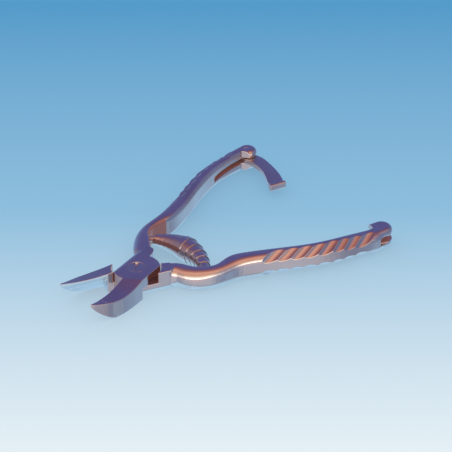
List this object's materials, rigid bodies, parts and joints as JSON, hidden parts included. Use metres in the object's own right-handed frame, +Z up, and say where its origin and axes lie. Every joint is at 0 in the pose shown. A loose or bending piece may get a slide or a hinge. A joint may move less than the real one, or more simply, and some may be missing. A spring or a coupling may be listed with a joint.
{
  "type": "hoof nipper",
  "caption": "Small sprung hoof nipper: crossed levers on a lap joint, edge-to-edge blades, fluted grips, a barrel spring and a swinging catch that locks the handles.",
  "frame": {"origin": "on the pivot axis, in the plane of the underside that the tool rests on", "axes": "+Z up out of the screw head, parallel to the pivot axis; +X along the line between the two handles, from the pivot towards their ends; the jaws point along -X"},
  "size_m": [0.1322, 0.0939, 0.0106],
  "materials": {
    "lever_steel": "polished and plated",
    "spring_steel": "plated spring strip",
    "screw_steel": "polished",
    "catch_steel": "blanked and plated"
  },
  "bodies": {
    "lower": {"lower_lever": "lever_steel", "pivot_screw": "screw_steel", "spring_stud_lower": "screw_steel", "barrel_spring": "spring_steel"},
    "upper": {"upper_lever": "lever_steel", "spring_stud_upper": "screw_steel", "catch_pin": "screw_steel"},
    "catch": {"catch": "catch_steel"}
  },
  "joints": [
    {"name": "lever_pivot", "type": "hinge", "parent": "lower", "child": "upper", "pos_m": [0, 0, 0], "axis": [0, 0, -1], "range_deg": [-5, 35], "deforming": ["barrel_spring"]},
    {"name": "catch_hinge", "type": "hinge", "parent": "upper", "child": "catch", "pos_m": [0.09658, 0.04387, 0.0046], "axis": [0, 0, 1], "range_deg": [-54, 60]}
  ]
}
